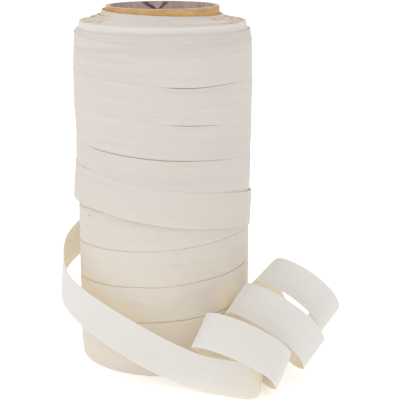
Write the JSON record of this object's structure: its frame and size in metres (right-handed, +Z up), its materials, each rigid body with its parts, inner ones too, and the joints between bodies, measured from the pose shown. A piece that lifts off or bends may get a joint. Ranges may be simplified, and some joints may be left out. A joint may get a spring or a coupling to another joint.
{
  "type": "roll of cotton ribbon",
  "caption": "Narrow cotton ribbon wound in slanting wraps on an open cardboard tube, standing on its end, with a loose end that swings round the front and lies in open curls.",
  "frame": {"origin": "on the floor under the middle of the whole part's bounding box, roll and loose end together", "axes": "+Z up along the tube, -Y towards the viewer's side, where the loose end crosses the roll, +X towards the curls"},
  "size_m": [0.1204, 0.1074, 0.15],
  "materials": {
    "tube_board": "matt kraft board, grey-brown inside",
    "wound_cotton": "undyed cotton tape, fine lengthwise ribs, slight sheen",
    "loose_cotton": "undyed cotton tape, fine lengthwise ribs, slight sheen"
  },
  "bodies": {
    "root": {"core_tube": "tube_board", "winding": "wound_cotton", "loose_end": "loose_cotton"}
  },
  "joints": []
}
